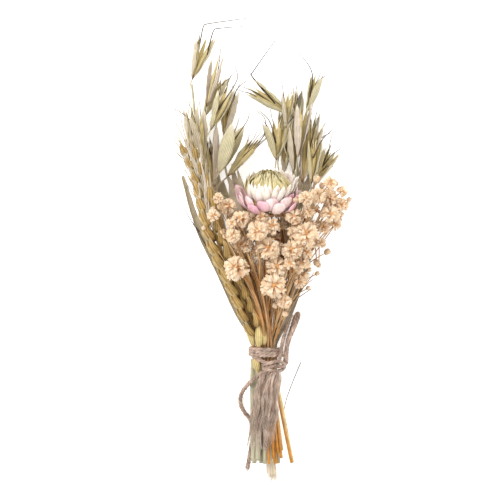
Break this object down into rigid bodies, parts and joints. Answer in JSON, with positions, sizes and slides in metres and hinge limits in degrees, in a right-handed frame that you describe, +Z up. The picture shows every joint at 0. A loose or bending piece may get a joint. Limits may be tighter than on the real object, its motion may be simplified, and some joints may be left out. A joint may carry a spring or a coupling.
{
  "type": "bunch of dried flowers",
  "caption": "Small tied bunch of dried oats, wheat, a strawflower and gypsophila, lying on its back, held at the neck by jute twine.",
  "frame": {"origin": "middle of the base of the bunch as it lies, without the free ends of the twine", "axes": "+Y along the stems towards the flower heads, +Z up from the surface it lies on, +X to the right seen from above"},
  "size_m": [0.0744, 0.1962, 0.0355],
  "materials": {
    "oat_husk": "dry papery husk, fine lengthwise veins",
    "oat_straw": "dry straw, satin",
    "wheat_grain": "dry wheat ear, satin",
    "straw": "dry straw, satin",
    "flower_bract": "papery petal, pink and white",
    "flower_dome": "papery petals, cream and yellow green",
    "gypsophila": "small papery double flowers, matte",
    "leaf": "dry leaf blade, matte",
    "jute": "hairy jute twine, matte"
  },
  "bodies": {
    "root": {"oat_spikelet_01": "oat_husk", "oat_spikelet_02": "oat_husk", "oat_spikelet_03": "oat_husk", "oat_spikelet_04": "oat_husk", "oat_spikelet_05": "oat_husk", "oat_spikelet_06": "oat_husk", "oat_spikelet_07": "oat_husk", "oat_spikelet_08": "oat_husk", "oat_spikelet_09": "oat_husk", "oat_spikelet_10": "oat_husk", "oat_spikelet_11": "oat_husk", "oat_spikelet_12": "oat_husk", "oat_spikelet_13": "oat_husk", "oat_spikelet_14": "oat_husk", "oat_spikelet_15": "oat_husk", "oat_spikelet_16": "oat_husk", "oat_spikelet_17": "oat_husk", "oat_spikelet_18": "oat_husk", "oat_spikelet_19": "oat_husk", "oat_spikelet_20": "oat_husk", "oat_spikelet_21": "oat_husk", "oat_spikelet_22": "oat_husk", "oat_spikelet_23": "oat_husk", "oat_stalk_left": "oat_straw", "oat_stalk_middle": "oat_straw", "oat_stalk_right": "oat_straw", "wheat_ear_front": "wheat_grain", "wheat_ear_back": "wheat_grain", "wheat_stalk_front": "straw", "wheat_stalk_back": "straw", "strawflower_head": "flower_dome", "strawflower_bract_1": "flower_bract", "strawflower_bract_2": "flower_bract", "strawflower_bract_3": "flower_bract", "strawflower_bract_4": "flower_bract", "strawflower_bract_5": "flower_bract", "strawflower_bract_6": "flower_bract", "strawflower_bract_7": "flower_bract", "strawflower_bract_8": "flower_bract", "strawflower_stem": "straw", "gypsophila_sprig_1": "gypsophila", "gypsophila_sprig_2": "gypsophila", "gypsophila_sprig_3": "gypsophila", "gypsophila_sprig_4": "gypsophila", "gypsophila_sprig_5": "gypsophila", "gypsophila_sprig_6": "gypsophila", "gypsophila_sprig_7": "gypsophila", "leaf_under": "leaf", "leaf_left": "leaf", "leaf_right": "leaf", "straw_left": "straw", "straw_right": "straw", "twine_wraps": "jute", "twine_knot": "jute", "twine_left_tail": "jute", "twine_bow_loop": "jute", "twine_frayed_tail": "jute"}
  },
  "joints": []
}
